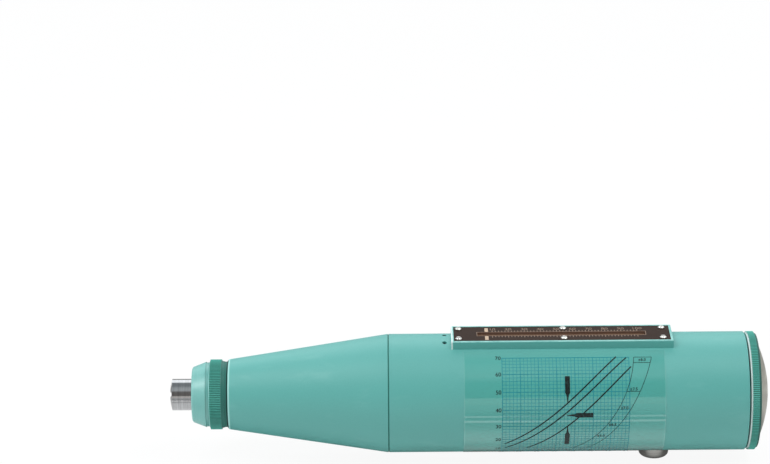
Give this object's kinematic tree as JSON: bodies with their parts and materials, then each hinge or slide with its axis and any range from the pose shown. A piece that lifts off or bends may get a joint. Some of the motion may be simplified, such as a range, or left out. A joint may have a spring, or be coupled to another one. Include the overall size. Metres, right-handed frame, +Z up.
{
  "type": "concrete test hammer",
  "caption": "Hand-held rebound hammer for testing concrete: tubular green body with a conical nose, steel plunger, slotted scale with rider, chart label and push-button.",
  "frame": {"origin": "centre of the front cap's flat nose face, on the plunger's axis", "axes": "+X along the tool's axis from the nose to the rear cover, +Z up through the scale, the push-button points to -Z, the chart label faces -Y"},
  "size_m": [0.2798, 0.0555, 0.0629],
  "materials": {
    "green_body": "satin green coat on aluminium",
    "green_turned": "turned and knurled green anodised aluminium",
    "silver": "bare satin aluminium",
    "polished_steel": "polished hardened steel",
    "steel": "turned steel",
    "dark_steel": "blackened steel",
    "spring_steel": "oiled spring wire",
    "brass": "turned brass",
    "felt": "pressed felt",
    "scale_black": "satin black with pale print",
    "window": "clear acrylic strip",
    "label_film": "clear printed film"
  },
  "bodies": {
    "housing": {"front_cap": "green_turned", "felt_washer": "felt", "split_ring": "steel", "guide_sleeve": "brass", "front_cone": "green_body", "barrel": "green_body", "grub_screws": "dark_steel", "scale_frame": "green_body", "scale_plate": "scale_black", "scale_window": "window", "scale_screws": "steel", "chart_label": "label_film", "rider_rod": "steel", "button_bush": "brass", "rear_cover": "green_turned", "end_dome": "silver", "trip_screw": "steel", "trip_nut": "steel", "impact_spring": "spring_steel", "return_spring": "spring_steel", "button_spring": "spring_steel"},
    "carriage": {"plunger": "polished_steel", "plunger_bush": "brass", "buffer_spring": "spring_steel", "guide_bar": "steel", "guide_disk": "steel", "bar_nut": "steel", "pawl_pin": "steel", "pawl_spring": "spring_steel"},
    "pawl": {"pawl": "dark_steel"},
    "hammer": {"hammer_mass": "dark_steel"},
    "rider": {"rider_block": "brass", "rider_finger": "brass"},
    "button": {"push_button": "polished_steel", "lock_pin": "steel", "pin_clip": "dark_steel"}
  },
  "joints": [
    {"name": "plunger_slide", "type": "slide", "parent": "housing", "child": "carriage", "axis": [1, 0, 0], "range_m": [-0.078, 0], "deforming": ["return_spring"]},
    {"name": "hammer_slide", "type": "slide", "parent": "housing", "child": "hammer", "axis": [1, 0, 0], "range_m": [0, 0.075], "stiffness_N_per_m": 785, "deforming": ["impact_spring"]},
    {"name": "pawl_pivot", "type": "hinge", "parent": "carriage", "child": "pawl", "pos_m": [0.2229, 0.0208, 0], "axis": [0, 0, -1], "range_deg": [0, 13], "stiffness_Nm_per_rad": 0.05, "springref_deg": -5.73},
    {"name": "rider_slide", "type": "slide", "parent": "housing", "child": "rider", "axis": [1, 0, 0], "range_m": [0, 0.075]},
    {"name": "button_press", "type": "slide", "parent": "housing", "child": "button", "axis": [0, 0, 1], "range_m": [0, 0.0022], "stiffness_N_per_m": 400, "springref_m": -0.002, "deforming": ["button_spring"]}
  ]
}
